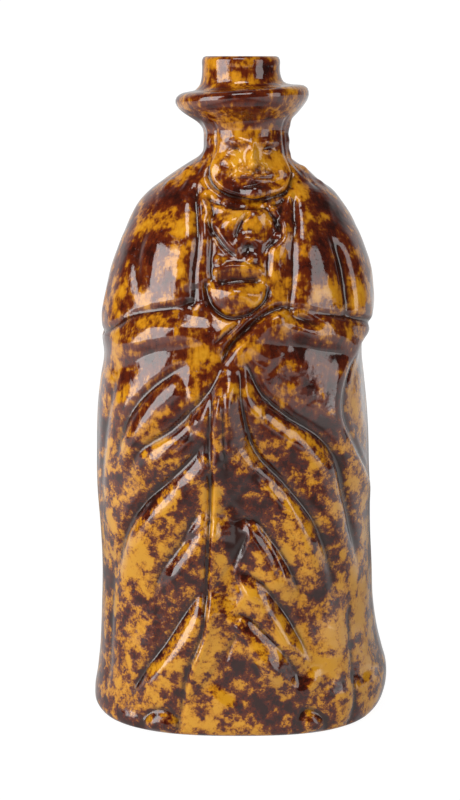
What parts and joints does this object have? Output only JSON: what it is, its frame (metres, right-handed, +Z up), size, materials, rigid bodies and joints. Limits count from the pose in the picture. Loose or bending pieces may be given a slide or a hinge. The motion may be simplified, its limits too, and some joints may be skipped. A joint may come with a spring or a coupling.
{
  "type": "figural flask",
  "caption": "Hollow glazed pottery flask shaped as a cloaked coachman, with a flat foot and its mouth in the crown of a wide-brimmed hat.",
  "frame": {"origin": "middle of the flat underside, at the height of the surface it stands on", "axes": "+Z up through the mouth, -Y the way the figure faces, +X to the figure's left"},
  "size_m": [0.1219, 0.0966, 0.267],
  "materials": {
    "glaze": "glossy mottled brown and amber glaze"
  },
  "bodies": {
    "root": {"flask": "glaze"}
  },
  "joints": []
}
